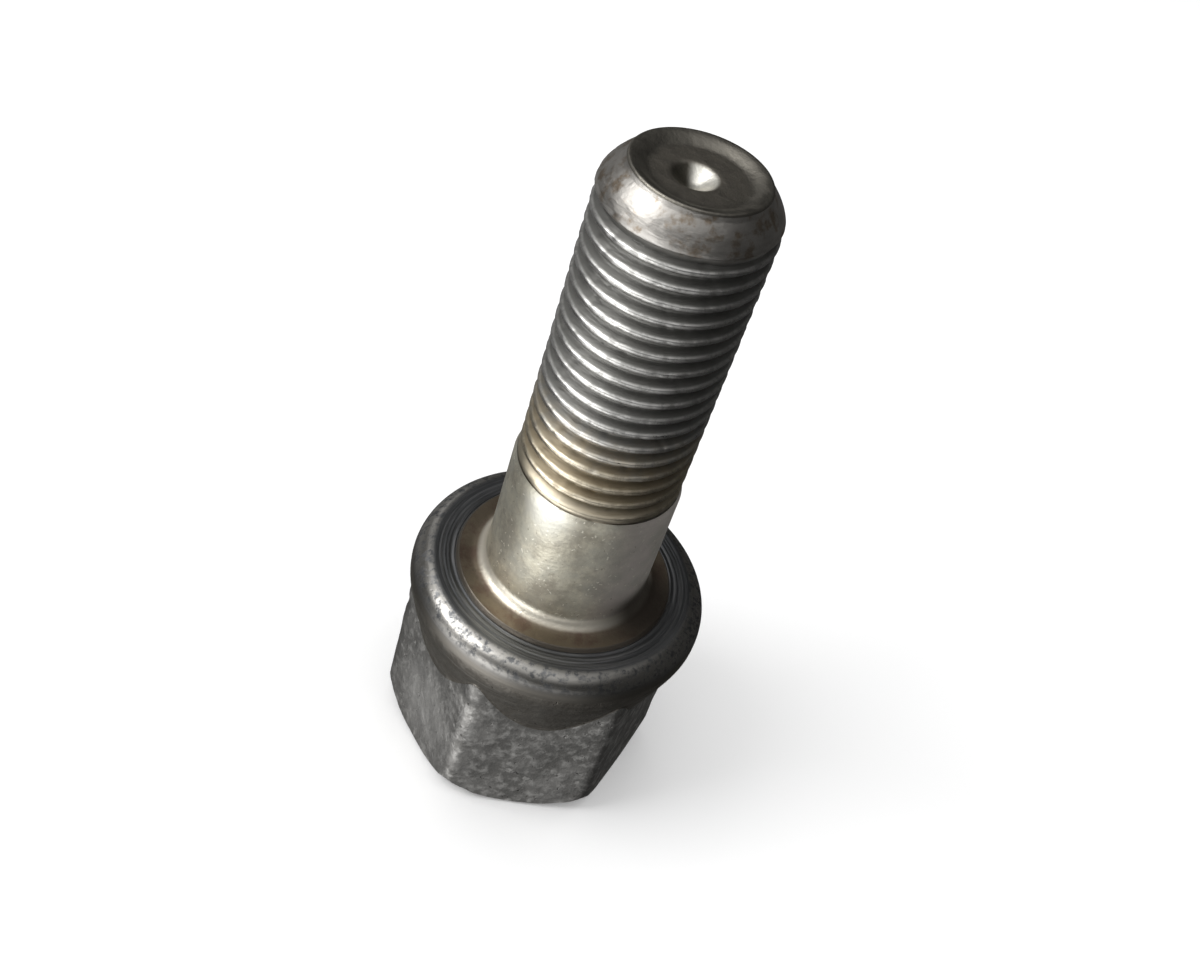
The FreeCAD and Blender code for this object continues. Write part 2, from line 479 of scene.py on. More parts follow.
def tip_rings():
    """Neck, rim, dish and centre mark, from the thread's end to the edge of the mark's bottom."""
    rings = [circle(NECK_FOOT_R, NECK_FOOT_Z, THREAD)]
    for share in steps(NECK_STEPS):
        rings.append(circle(between(NECK_FOOT_R, RIM_R, share),
                            between(NECK_FOOT_Z, NECK_TOP_Z, share), THREAD))
    for inward, down in RIM_ROUND:
        rings.append(circle(RIM_R - inward, TIP_Z - down, TIP))
    wall_r, wall_z = RIM_R - inward, TIP_Z - down    # the dish's wall starts where the rim ends
    for share in steps(WALL_STEPS):
        rings.append(circle(between(wall_r, DISH_R, share), between(wall_z, DISH_Z, soft(share)), TIP))
    for share in steps(DISH_STEPS):
        rings.append(circle(between(DISH_R, MARK_R, share), DISH_Z, TIP))
    for share in steps(MARK_STEPS):
        slope = math.sin(share * math.pi / 2) ** MARK_BEND
        rings.append(circle(between(MARK_R, MARK_BOTTOM_R, share), DISH_Z - MARK_DEPTH * slope, TIP))
    return rings


def mark_share(radius):
    """How far a ring of the tip follows the centre mark: fully inside it, not at all at the dish's wall."""
    return soft(min(max((DISH_R - radius) / (DISH_R - MARK_R), 0), 1))


print("tip:", len(tip_rings()), "rings")

# %% [markdown]
# ## Join the skins
# The rings become one mesh with the thread's skin between them. The forged head isn't perfect: its
# flats are a little uneven and its edges carry small dents. A smooth noise moves the head's points in or
# out, and a few round dents, placed with a fixed seed, push them in. No point goes past the collar's
# radius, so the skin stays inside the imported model's box.

# %% Uneven head
DENTS, DENT_SEED = 26, 5
DENT_SPREAD = 9                                # degrees to both sides of a corner
DENT_REACH = COLLAR_R - 0.7
DENT_HEIGHTS, DENT_SIZES, DENT_DEPTHS = (0.5, COLLAR_LOW + 2), (0.8, 1.7), (0.05, 0.2)
SWELL, SWELL_SCALE = 0.09, 0.32                # broad unevenness and how quickly it changes
RIPPLE, RIPPLE_SCALE = 0.03, 1.1               # fine unevenness
FOOT_EASE, COLLAR_EASE = 0.5, 2.0              # heights over which it fades out below and above


def head_dents():
    """Round dents on the head's edges and flats: centre, radius and depth."""
    draw = random.Random(DENT_SEED)
    dents = []
    for _ in range(DENTS):
        turn = math.radians(60 * draw.randrange(6) + draw.gauss(0, DENT_SPREAD))
        height = draw.uniform(*DENT_HEIGHTS)
        centre = Vector((DENT_REACH * math.cos(turn), DENT_REACH * math.sin(turn), height))
        dents.append((centre, draw.uniform(*DENT_SIZES), draw.uniform(*DENT_DEPTHS)))
    return dents


def forged(point, dents):
    """Move a point of the head in or out a little, as a forging's skin is uneven."""
    push = SWELL * noise.noise(point * SWELL_SCALE) + RIPPLE * noise.noise(point * RIPPLE_SCALE)
    for centre, reach, depth in dents:
        near = (point - centre).length / reach
        if near < 1:
            push += depth * (1 - near * near) ** 2
    push *= min(point.z / FOOT_EASE, (SEAT_Z - SEAT_DROP - point.z) / COLLAR_EASE, 1.0)
    reach = math.hypot(point.x, point.y)
    shrink = min(reach - push, COLLAR_R) / reach
    return Vector((point.x * shrink, point.y * shrink, point.z))


# %% Helpers for the skin
SKIN_WELD = 0.003
SHARP_ANGLE = math.radians(38)


def add_rings(skin, rings, dents):
    """Add rings to a mesh and join each to the next. Gives the first and the last ring's points."""
    previous = first = None
    for radii, heights, finish in rings:
        ring = []
        for turn, radius, height in zip(angles, radii, heights):
            point = Vector((radius * math.cos(turn), radius * math.sin(turn), height))
            if finish in (COLLAR, FLAT):
                point = forged(point, dents)
            elif finish == TIP:
                point += MARK_SHIFT * mark_share(radius)
            ring.append(skin.verts.new(point * MM))
        if previous:
            for k in range(COLUMNS):
                face = skin.faces.new((previous[k - 1], previous[k], ring[k], ring[k - 1]))
                face.material_index = finish
        first = first or ring
        previous = ring
    return first, previous


def cap(skin, ring, height, finish):
    """Close a ring with a fan of triangles to its middle."""
    centre = sum((point.co for point in ring), Vector()) / COLUMNS
    middle = skin.verts.new((centre.x, centre.y, height * MM))
    for k in range(COLUMNS):
        skin.faces.new((ring[k - 1], ring[k], middle)).material_index = finish


# %% Build the skin
skin = bmesh.new()
skin.from_mesh(thread_mesh)
for face in skin.faces:
    face.material_index = THREAD
end_face, _ = add_rings(skin, head_rings() + seat_rings() + shank_rings(), head_dents())
cap(skin, end_face, 0, FLAT)
_, mark_bottom = add_rings(skin, tip_rings(), [])
cap(skin, mark_bottom, DISH_Z - MARK_DEPTH, TIP)
bmesh.ops.remove_doubles(skin, verts=skin.verts, dist=SKIN_WELD * MM)
bmesh.ops.recalc_face_normals(skin, faces=skin.faces)
open_edges = sum(1 for edge in skin.edges if not edge.is_manifold)
bolt_mesh = bpy.data.meshes.new("wheel_bolt_skin")
skin.to_mesh(bolt_mesh)
skin.free()
for finish in finishes:
    bolt_mesh.materials.append(finish)
bolt_mesh.shade_smooth()
bolt_mesh.set_sharp_from_angle(angle=SHARP_ANGLE)
bolt = bpy.data.objects.new("wheel_bolt_skin", bolt_mesh)
bpy.context.scene.collection.objects.link(bolt)
triangles = sum(len(face.vertices) - 2 for face in bolt_mesh.polygons)
print("bolt skin:", triangles, "triangles,", open_edges, "open edges")

# %% [markdown]
# ## Coordinates and patterns that all finishes share
# A used bolt shows its history along and round its axis: marks from turning run round it, the grooves
# are painted darker, and plating survives on the shank. So all finishes read the same few values, which
# are the height, the distance from the axis and a vector that changes slowly round the bolt. Each
# pattern is a node group with named inputs, so one change is seen in every finish.

# %% Shared coordinates
AROUND_SHARE = 0.4                             # how much a pattern on Around changes round the bolt
NOISE_SPAN, WIDE_SPAN = (0.35, 0.65), (0.3, 0.7)    # values that most of a noise lies between


def noise_at(tree, place, scale, detail, roughness=0.5):
    """The value of a noise. More detail adds finer grain, and more roughness makes that grain stronger."""
    return add(tree, "ShaderNodeTexNoise", {
        "Vector": place, "Scale": scale, "Detail": detail, "Roughness": roughness}).outputs[0]


def axes_group():
    """The point in millimetres, its height, its distance from the axis and a vector for turned marks."""
    tree, _, result = new_group("bolt_axes", "ShaderNodeTree", {}, {
        "Point": (VECTOR, None), "Height": (NUMBER, None),
        "Radius": (NUMBER, None), "Around": (VECTOR, None)})
    place = add(tree, "ShaderNodeTexCoord").outputs["Object"]
    point = vector_calc(tree, "SCALE", place, scale=1 / MM)["Vector"]
    split = add(tree, "ShaderNodeSeparateXYZ", {0: point}).outputs
    level = add(tree, "ShaderNodeCombineXYZ", {"X": split["X"], "Y": split["Y"]}).outputs[0]
    radius = vector_calc(tree, "LENGTH", level)["Value"]
    way = vector_calc(tree, "NORMALIZE", level)["Vector"]
    rim = add(tree, "ShaderNodeCombineXYZ", {"Z": calc(tree, "ADD", split["Z"], radius)}).outputs[0]
    slow = vector_calc(tree, "SCALE", way, scale=AROUND_SHARE)["Vector"]
    around = vector_calc(tree, "ADD", slow, rim)["Vector"]
    for name, socket in (("Point", point), ("Height", split["Z"]), ("Radius", radius), ("Around", around)):
        tree.links.new(socket, result.inputs[name])
    return tree


# %% Shared patterns
SPECK_WARP = 2.2                               # scale of the noise that bends the specks out of round
SPECK_CORE = 0.4                               # the share of a speck's size that is fully covered


def patches_group():
    """Soft-edged patches from a noise: worn spots, stains and blotches."""
    tree, value, result = new_group("worn_patches", "ShaderNodeTree", {
        "Vector": (VECTOR, None), "Scale": (NUMBER, 1.0),
        "Threshold": (NUMBER, 0.5), "Softness": (NUMBER, 0.05)}, {"Mask": (NUMBER, None)})
    cloud = noise_at(tree, value["Vector"], value["Scale"], detail=5.0, roughness=0.62)
    low = calc(tree, "SUBTRACT", value["Threshold"], value["Softness"])
    high = calc(tree, "ADD", value["Threshold"], value["Softness"])
    tree.links.new(ramp(tree, cloud, low, high), result.inputs["Mask"])
    return tree


def specks_group():
    """Small specks of which only a share is kept: pits and flecks on a forging, or spots on plating."""
    tree, value, result = new_group("specks", "ShaderNodeTree", {
        "Vector": (VECTOR, None), "Scale": (NUMBER, 1.0),
        "Size": (NUMBER, 0.3), "Share": (NUMBER, 0.4)}, {"Mask": (NUMBER, None)})
    warp = add(tree, "ShaderNodeTexNoise", {"Vector": value["Vector"], "Scale": SPECK_WARP, "Detail": 2.0})
    bent = vector_calc(tree, "ADD", warp.outputs["Color"], value["Vector"])["Vector"]
    cell = add(tree, "ShaderNodeTexVoronoi", {"Vector": bent, "Scale": value["Scale"]})
    core = calc(tree, "MULTIPLY", value["Size"], SPECK_CORE)
    spot = ramp(tree, cell.outputs["Distance"], value["Size"], core)
    chance = add(tree, "ShaderNodeSeparateColor", {0: cell.outputs["Color"]}).outputs[0]
    kept = calc(tree, "LESS_THAN", chance, value["Share"])
    tree.links.new(calc(tree, "MULTIPLY", spot, kept), result.inputs["Mask"])
    return tree


axes, patches, specks = axes_group(), patches_group(), specks_group()
print("shared groups:", [group.name for group in (axes, patches, specks)])


# %% Helpers for finishes
def paint(finish, metallic):
    """Open a finish. Gives its tree, its shader's inputs and the shared coordinates."""
    finish.use_nodes = True
    tree = finish.node_tree
    shader = tree.nodes["Principled BSDF"].inputs
    shader["Metallic"].default_value = metallic
    return tree, shader, add(tree, "ShaderNodeGroup", node_tree=axes).outputs


def pattern(tree, group, at, **inputs):
    """The mask of a shared pattern, laid on the bolt's own coordinates."""
    named = {name.title(): value for name, value in inputs.items()}
    return add(tree, "ShaderNodeGroup", {"Vector": at["Point"], **named}, node_tree=group).outputs["Mask"]


def blend(tree, factor, first, second):
    """A colour between two colours."""
    node = add(tree, "ShaderNodeMix", data_type="RGBA")
    for place, value in ((0, factor), (6, first), (7, second)):
        feed(tree, node.inputs[place], value if is_socket(value) or place == 0 else (*value, 1.0))
    return node.outputs[2]


def bump(tree, height, depth, normal=None):
    """Fine relief, on top of another relief if one is given. The depth is in millimetres."""
    node = add(tree, "ShaderNodeBump", {
        "Strength": 1.0, "Distance": depth * MM, "Height": height, "Normal": normal})
    return node.outputs[0]


# %% [markdown]
# ## Bare thread steel
# The thread was rolled after plating and has been screwed in and out many times, so its crests are
# polished to bare steel, with duller patches. The grooves, where the distance from the axis is small,
# are painted darker. Towards the shank some of the yellow plating survives, and the tip's chamfer is
# rougher, with brown stains. A thin painted shadow line runs round the shoulder. Fine lines run round
# the bolt, so their noise is stretched round the axis.

# %% Colours of the thread
BARE_STEEL, GOLD_STEEL, TIP_STEEL = (0.72, 0.71, 0.685), (0.74, 0.665, 0.52), (0.47, 0.45, 0.42)
GREY_GROOVE, GOLD_GROOVE = (0.215, 0.212, 0.2), (0.32, 0.27, 0.19)
SHOULDER_SHADOW, TIP_STAIN = (0.1, 0.083, 0.06), (0.26, 0.2, 0.14)
GOLD_LOW, GOLD_HIGH = THREAD_LOW + 3.5, THREAD_LOW + 9.5    # the plating thins out between these heights
GOLD_DRIFT = 6.0                               # and a noise moves them by this much
GROOVE_DARK_R, CLEAN_R = THREAD_R - 0.32, THREAD_R - 0.05
DULLED_CREST = 0.5                             # share of the polish that is left in the duller patches
TIP_EASE = 0.6                                 # the tip's colour fades in above and below the chamfer's start

tree, shader, at = paint(finishes[THREAD], 1.0)
cloud = noise_at(tree, at["Point"], scale=0.8, detail=4.0)
drift = calc(tree, "MULTIPLY_ADD", cloud, GOLD_DRIFT, at["Height"])
gold = ramp(tree, drift, GOLD_HIGH + GOLD_DRIFT / 2, GOLD_LOW + GOLD_DRIFT / 2)
dulled = pattern(tree, patches, at, scale=1.3, threshold=0.53, softness=0.12)
crest = ramp(tree, at["Radius"], GROOVE_DARK_R, CLEAN_R)
crest = calc(tree, "MULTIPLY", crest, ramp(tree, dulled, 0.0, 1.0, 1.0, DULLED_CREST))
near_tip = ramp(tree, at["Height"], CHAMFER_LOW - TIP_EASE, CHAMFER_LOW + TIP_EASE)
near_shank = ramp(tree, at["Height"], RUNOUT_HIGH, RUNOUT_LOW)
clean = calc(tree, "MAXIMUM", calc(tree, "MAXIMUM", crest, near_tip), near_shank)
# the grooves are painted darker than the crests, grey above and gold towards the shank
groove_colour = blend(tree, gold, GREY_GROOVE, GOLD_GROOVE)
metal = blend(tree, clean, groove_colour, blend(tree, gold, BARE_STEEL, GOLD_STEEL))
metal = blend(tree, near_tip, metal, TIP_STEEL)

# %% Painted shadow line, stains and gloss of the thread
SHADOW_LINE_Z, SHADOW_LINE_WANDER = THREAD_LOW + 0.3, 0.5    # a thin painted shadow line at the shoulder, not quite level
SHADOW_LINE_REACH, SHADOW_LINE_FULL, SHADOW_LINE_STRENGTH = 0.28, 0.04, 1.7
TIP_STAIN_STRENGTH = 0.8
GROOVE_ROUGHNESS, CREST_ROUGHNESS, TIP_EXTRA, LINE_EXTRA = 0.5, 0.33, 0.09, 0.06
LUMP_RELIEF, LINE_RELIEF = 0.05, 0.035
wander = calc(tree, "MULTIPLY_ADD", cloud, SHADOW_LINE_WANDER, at["Height"])
from_shoulder = calc(tree, "ABSOLUTE", calc(tree, "SUBTRACT", wander, SHADOW_LINE_Z))
# painted shadow: a thin dark line round the shoulder, below the last thread
shoulder_shadow = ramp(tree, from_shoulder, SHADOW_LINE_REACH, SHADOW_LINE_FULL, 0.0, SHADOW_LINE_STRENGTH)
metal = blend(tree, calc(tree, "MULTIPLY", shoulder_shadow, cloud), metal, SHOULDER_SHADOW)
stain = pattern(tree, patches, at, scale=0.75, threshold=0.56, softness=0.08)
stain = calc(tree, "MULTIPLY", stain, calc(tree, "MULTIPLY", near_tip, TIP_STAIN_STRENGTH))
feed(tree, shader["Base Color"], blend(tree, stain, metal, TIP_STAIN))
lines = noise_at(tree, at["Around"], scale=9.0, detail=4.0, roughness=0.6)
gloss = ramp(tree, lines, *WIDE_SPAN, -LINE_EXTRA, LINE_EXTRA, smooth=False)
gloss = calc(tree, "MULTIPLY_ADD", near_tip, TIP_EXTRA, gloss)
rough = ramp(tree, clean, 0.0, 1.0, GROOVE_ROUGHNESS, CREST_ROUGHNESS)
feed(tree, shader["Roughness"], calc(tree, "ADD", gloss, rough))
lumps = bump(tree, calc(tree, "MULTIPLY", cloud, near_tip), LUMP_RELIEF)
feed(tree, shader["Normal"], bump(tree, lines, LINE_RELIEF, lumps))
print(finishes[THREAD].name, "has", len(tree.nodes), "nodes")

# %% [markdown]
# ## Plated shank
# The plain shank keeps its yellow plating, dulled to a pale satin gold. It is mottled, with greyer
# clouds, pale specks and a few dark ones, a mauve-grey stain on one side, painted lighter there as
# painted light, and a near-white painted highlight on another side. The fillet below carries a painted
# highlight band, the raised ring has turned tan and brown with some rust, its outer edge is painted a
# little darker as shade, and painted shade lies in one part of the fillet. The ring and the fillet
# differ from the shank in their distance from the axis, so that value parts the colours.

# %% Plating of the shank
DULL_PLATING, PALE_PLATING, SHANK_HIGHLIGHT = (0.4, 0.37, 0.3), (0.7, 0.665, 0.54), (0.95, 0.94, 0.85)
MAUVE_STAIN_AND_LIGHT, GREY_CLOUD = (0.72, 0.66, 0.63), (0.5, 0.495, 0.43)
PALE_SPECK, DARK_SPECK = (0.92, 0.89, 0.78), (0.2, 0.165, 0.11)
PLATING_SPAN = (0.36, 0.62)
LIT_STAIN_WAY = (0.974, -0.225, 0)                 # the mauve-grey stain lies on this side of the shank, painted lighter as painted light
STAIN_FROM, STAIN_FULL, STAIN_STRENGTH = 1.5, 5.5, 0.75
SHANK_HIGHLIGHT_SPOT = (-4.16, -5.75, SHANK_HIGH - 0.6)  # a painted highlight is centred here
SHANK_HIGHLIGHT_REACH, SHANK_HIGHLIGHT_FRAY, SHANK_HIGHLIGHT_STRENGTH = 3.4, 3.0, 0.85


def away_from(tree, at, spot):
    """Distance from a spot on the bolt."""
    return vector_calc(tree, "DISTANCE", at["Point"], spot)["Value"]


tree, shader, at = paint(finishes[SHANK], 0.85)
cloud = noise_at(tree, at["Point"], scale=0.42, detail=8.0, roughness=0.66)
plating = blend(tree, ramp(tree, cloud, *PLATING_SPAN), DULL_PLATING, PALE_PLATING)
# a mauve-grey stain, lighter than the plating, so it is also painted light on this side
side = vector_calc(tree, "DOT_PRODUCT", at["Point"], LIT_STAIN_WAY)["Value"]
plating = blend(tree, ramp(tree, side, STAIN_FROM, STAIN_FULL, 0.0, STAIN_STRENGTH), plating, MAUVE_STAIN_AND_LIGHT)
grey = pattern(tree, patches, at, scale=0.33, threshold=0.52, softness=0.1)
pale = pattern(tree, specks, at, scale=2.2, size=0.3, share=0.4)
dark = pattern(tree, specks, at, scale=1.5, size=0.2, share=0.3)
for mask, strength, colour in ((grey, 0.5, GREY_CLOUD), (pale, 0.8, PALE_SPECK), (dark, 0.55, DARK_SPECK)):
    plating = blend(tree, calc(tree, "MULTIPLY", mask, strength), plating, colour)
# painted highlight: a near-white patch high on the shank, with a frayed edge
off = calc(tree, "MULTIPLY_ADD", cloud, SHANK_HIGHLIGHT_FRAY, away_from(tree, at, SHANK_HIGHLIGHT_SPOT))
shank_highlight = ramp(tree, off, SHANK_HIGHLIGHT_REACH + SHANK_HIGHLIGHT_FRAY / 2, SHANK_HIGHLIGHT_FRAY / 2, 0.0, SHANK_HIGHLIGHT_STRENGTH)
plating = blend(tree, shank_highlight, plating, SHANK_HIGHLIGHT)

# %% Painted fillet highlight, raised ring and painted shade
FILLET_HIGHLIGHT, TAN_RING, RUSTY_RING = (0.96, 0.9, 0.77), (0.18, 0.147, 0.106), (0.14, 0.1, 0.075)
RING_EDGE_SHADE, POCKET_SHADE_COLOUR = (0.16, 0.14, 0.115), (0.06, 0.05, 0.04)
FILLET_HIGHLIGHT_FROM, FILLET_HIGHLIGHT_FULL = SHANK_R + FILLET * 0.01, SHANK_R + FILLET * 0.08
RING_FROM, RING_FULL = SHANK_R + FILLET * 0.22, SHANK_R + FILLET * 0.65
SHADE_POCKET_R, SHADE_POCKET_TURN = 7.4, math.radians(-26)
SHADE_POCKET_SPOT = (SHADE_POCKET_R * math.cos(SHADE_POCKET_TURN), SHADE_POCKET_R * math.sin(SHADE_POCKET_TURN), PAD_Z + 0.7)
SHADE_POCKET_REACH, SHADE_POCKET_CORE = 6.5, 1.95
SHADE_POCKET_FULL_Z, SHADE_POCKET_TOP_Z = PAD_Z + 1.2, PAD_Z + 4.2    # it stays low, in the fillet
FILLET_HIGHLIGHT_STRENGTH, SHADE_POCKET_STRENGTH = 0.75, 0.95
SHANK_ROUGHNESS, SHANK_RELIEF = (0.42, 0.32), 0.03
# painted highlight: the fillet's upper part is painted near white all round
painted_light = ramp(tree, at["Radius"], FILLET_HIGHLIGHT_FROM, FILLET_HIGHLIGHT_FULL, 0.0, FILLET_HIGHLIGHT_STRENGTH)
plating = blend(tree, painted_light, plating, FILLET_HIGHLIGHT)
rust = pattern(tree, patches, at, scale=0.5, threshold=0.54, softness=0.1)
# painted shade: the ring's outer edge, beside the fine groove, is painted a little darker and greyer
edge = ramp(tree, at["Radius"], PAD_R - PAD_EDGE * 1.6, PAD_R - PAD_EDGE)
ring = blend(tree, edge, blend(tree, rust, TAN_RING, RUSTY_RING), RING_EDGE_SHADE)
colour = blend(tree, ramp(tree, at["Radius"], RING_FROM, RING_FULL), plating, ring)
# painted shade: a dark pocket low in the fillet, on its shaded side
pocket_shade = ramp(tree, away_from(tree, at, SHADE_POCKET_SPOT), SHADE_POCKET_REACH, SHADE_POCKET_CORE, 0.0, SHADE_POCKET_STRENGTH)
pocket_shade = calc(tree, "MULTIPLY", pocket_shade, ramp(tree, at["Height"], SHADE_POCKET_TOP_Z, SHADE_POCKET_FULL_Z))
feed(tree, shader["Base Color"], blend(tree, pocket_shade, colour, POCKET_SHADE_COLOUR))
feed(tree, shader["Roughness"], ramp(tree, cloud, *NOISE_SPAN, *SHANK_ROUGHNESS, smooth=False))
grain = noise_at(tree, at["Point"], scale=3.0, detail=5.0, roughness=0.6)
feed(tree, shader["Normal"], bump(tree, grain, SHANK_RELIEF))
print(finishes[SHANK].name, "has", len(tree.nodes), "nodes")

# %% [markdown]
# ## Worn seat
# The seat has turned against the wheel each time the bolt was tightened. That left a dark ring with fine
# circular scores, and it polished the rounded outer edge until bare steel broke through in patches. Low
# on the edge, where nothing rubs, the dark brown of the forging begins.

# %% Worn seat
SCORE_DARK, SCORE_GREY = (0.125, 0.128, 0.132), (0.26, 0.263, 0.268)
SEAT_SKIRT, SEAT_BARE = (0.2, 0.187, 0.165), (0.47, 0.455, 0.425)
SCORE_SPAN = (0.4, 0.7)
POLISH_FROM, POLISH_FULL = SEAT_OUTER + 0.1, SEAT_OUTER + 0.6
EDGE_LOW, EDGE_MIDDLE, EDGE_HIGH = (SEAT_Z - SEAT_DROP * share for share in (0.85, 0.7, 0.35))
SEAT_ROUGHNESS, SCORE_RELIEF, BARE_RELIEF = (0.42, 0.3), 0.04, 0.005
tree, shader, at = paint(finishes[SEAT], 1.0)
scores = noise_at(tree, at["Around"], scale=3.2, detail=4.0, roughness=0.6)
dark = blend(tree, ramp(tree, scores, *SCORE_SPAN), SCORE_DARK, SCORE_GREY)
dark = blend(tree, ramp(tree, at["Height"], EDGE_HIGH, EDGE_LOW), dark, SEAT_SKIRT)
bare = pattern(tree, patches, at, scale=1.6, threshold=0.46, softness=0.1)
bare = calc(tree, "MULTIPLY", bare, ramp(tree, at["Radius"], POLISH_FROM, POLISH_FULL))
bare = calc(tree, "MULTIPLY", bare, ramp(tree, at["Height"], EDGE_MIDDLE, EDGE_HIGH))
feed(tree, shader["Base Color"], blend(tree, bare, dark, SEAT_BARE))
feed(tree, shader["Roughness"], ramp(tree, bare, 0.0, 1.0, *SEAT_ROUGHNESS, smooth=False))
feed(tree, shader["Normal"], bump(tree, scores, SCORE_RELIEF, bump(tree, bare, BARE_RELIEF)))
print(finishes[SEAT].name, "has", len(tree.nodes), "nodes")

# %% [markdown]
# ## Forged head
# The hexagon and the collar's side keep a dark skin from forging and heat. Sockets have scuffed the
# flats, so these are greyer, with pale blotches, flecks and pits. The collar stays brown and darker, with
# faint lines round it. Both are the same recipe with other amounts, so one function paints both.

# %% Forged head
PIT_DARK = (0.045, 0.042, 0.038)
PIT_STRENGTH, PIT_RELIEF, FORGED_RELIEF = 0.6, 0.3, 0.2
FORGED_ROUGHNESS, LINE_SPAN = (0.52, 0.4), (0.48, 0.75)
LIT_FLAT_SPOT = (-9.3, -5.9, 5.8)                   # painted light: the flat that faces the lights is painted paler round here
LIT_FLAT_REACH, LIT_FLAT_CORE = 6.5, 1.0


def forged_finish(finish, dark, light, worn, blotch_and_light_amount, line_amount):
    """Paint a forged skin between two tones, with worn lines, blotches and flecks, a paler patch of painted
    light on one flat, and dark pits.
    """
    tree, shader, at = paint(finish, 1.0)
    cloud = noise_at(tree, at["Point"], scale=0.5, detail=5.0, roughness=0.6)
    colour = blend(tree, ramp(tree, cloud, *NOISE_SPAN), dark, light)
    lines = noise_at(tree, at["Around"], scale=2.6, detail=4.0, roughness=0.6)
    colour = blend(tree, ramp(tree, lines, *LINE_SPAN, 0.0, line_amount), colour, worn)
    blotch = pattern(tree, patches, at, scale=1.0, threshold=0.57, softness=0.1)
    fleck = pattern(tree, specks, at, scale=1.1, size=0.36, share=0.25)
    for mask in (blotch, fleck):
        colour = blend(tree, calc(tree, "MULTIPLY", mask, blotch_and_light_amount), colour, worn)
    # painted light: paler towards the flat that faces the lights
    painted_light = ramp(tree, away_from(tree, at, LIT_FLAT_SPOT), LIT_FLAT_REACH, LIT_FLAT_CORE, 0.0, blotch_and_light_amount)
    colour = blend(tree, painted_light, colour, worn)
    pit = pattern(tree, specks, at, scale=1.7, size=0.24, share=0.22)
    colour = blend(tree, calc(tree, "MULTIPLY", pit, PIT_STRENGTH), colour, PIT_DARK)
    feed(tree, shader["Base Color"], colour)
    feed(tree, shader["Roughness"], ramp(tree, cloud, *WIDE_SPAN, *FORGED_ROUGHNESS, smooth=False))
    relief = calc(tree, "SUBTRACT", cloud, calc(tree, "MULTIPLY", pit, PIT_RELIEF))
    feed(tree, shader["Normal"], bump(tree, relief, FORGED_RELIEF))
    print(finish.name, "has", len(tree.nodes), "nodes")


forged_finish(finishes[COLLAR], dark=(0.165, 0.152, 0.132), light=(0.235, 0.22, 0.195),
              worn=(0.34, 0.322, 0.287), blotch_and_light_amount=0.15, line_amount=0.7)
forged_finish(finishes[FLAT], dark=(0.24, 0.235, 0.224), light=(0.38, 0.372, 0.357),
              worn=(0.7, 0.69, 0.665), blotch_and_light_amount=0.6, line_amount=0.0)

# %% [markdown]
# ## Dull tip
# The dish in the end of the bolt never touches anything, so it is dull and brown-grey, and a little
# darker on its wall. The centre mark, which located the blank while it was made, carries a painted
# highlight on the half that faces the lights and painted shade on the other.

# %% Dull tip
DULL_DARK, DULL_LIGHT, DISH_WALL = (0.28, 0.257, 0.218), (0.39, 0.36, 0.31), (0.24, 0.225, 0.195)
MARK_SHADE, MARK_HIGHLIGHT = (0.14, 0.13, 0.105), (0.85, 0.83, 0.76)
MARK_MIDDLE = (MARK_SHIFT.x, MARK_SHIFT.y, DISH_Z)
MARK_CORE = MARK_R * 0.8
LIT_HALF_FROM, LIT_HALF_FULL = MARK_SHIFT.x - 0.5, MARK_SHIFT.x + 0.3    # from the painted shade on one half to the painted highlight on the other
WALL_EASE = 0.5
TIP_ROUGHNESS, TIP_RELIEF = (0.5, 0.34), 0.08
tree, shader, at = paint(finishes[TIP], 1.0)
cloud = noise_at(tree, at["Point"], scale=0.9, detail=6.0, roughness=0.65)
dull = blend(tree, ramp(tree, cloud, *NOISE_SPAN), DULL_DARK, DULL_LIGHT)
dull = blend(tree, ramp(tree, at["Radius"], DISH_R - WALL_EASE, DISH_R + WALL_EASE), dull, DISH_WALL)
mark = ramp(tree, away_from(tree, at, MARK_MIDDLE), MARK_R, MARK_CORE)
across = add(tree, "ShaderNodeSeparateXYZ", {0: at["Point"]}).outputs["X"]
# painted highlight on the half of the centre mark that faces the lights, painted shade on the other
lit_half = ramp(tree, across, LIT_HALF_FROM, LIT_HALF_FULL)
feed(tree, shader["Base Color"], blend(tree, mark, dull, blend(tree, lit_half, MARK_SHADE, MARK_HIGHLIGHT)))
feed(tree, shader["Roughness"], ramp(tree, cloud, *WIDE_SPAN, *TIP_ROUGHNESS, smooth=False))
feed(tree, shader["Normal"], bump(tree, cloud, TIP_RELIEF))
print(finishes[TIP].name, "has", len(tree.nodes), "nodes")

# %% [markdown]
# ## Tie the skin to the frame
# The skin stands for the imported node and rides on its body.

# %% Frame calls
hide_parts("wheel_bolt")
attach(bolt, "root")
print("skin", bolt.name, "stands for the packed bolt")

# %% [markdown]
# ## Camera
# The camera stands close, above and in front, and is rolled so that the bolt leans to the right. Its
# place is given as a compass angle, a distance and a height, and it aims at a point near the axis.

# %% Camera
CAMERA_TURN = math.radians(-103.14)
CAMERA_AWAY = 87.73
CAMERA_HEIGHT = 110.64
CAMERA_AIM = Vector((0.441, -0.103, 31.438))
CAMERA_ROLL = math.radians(19.4)
CAMERA_LENS = 43.16

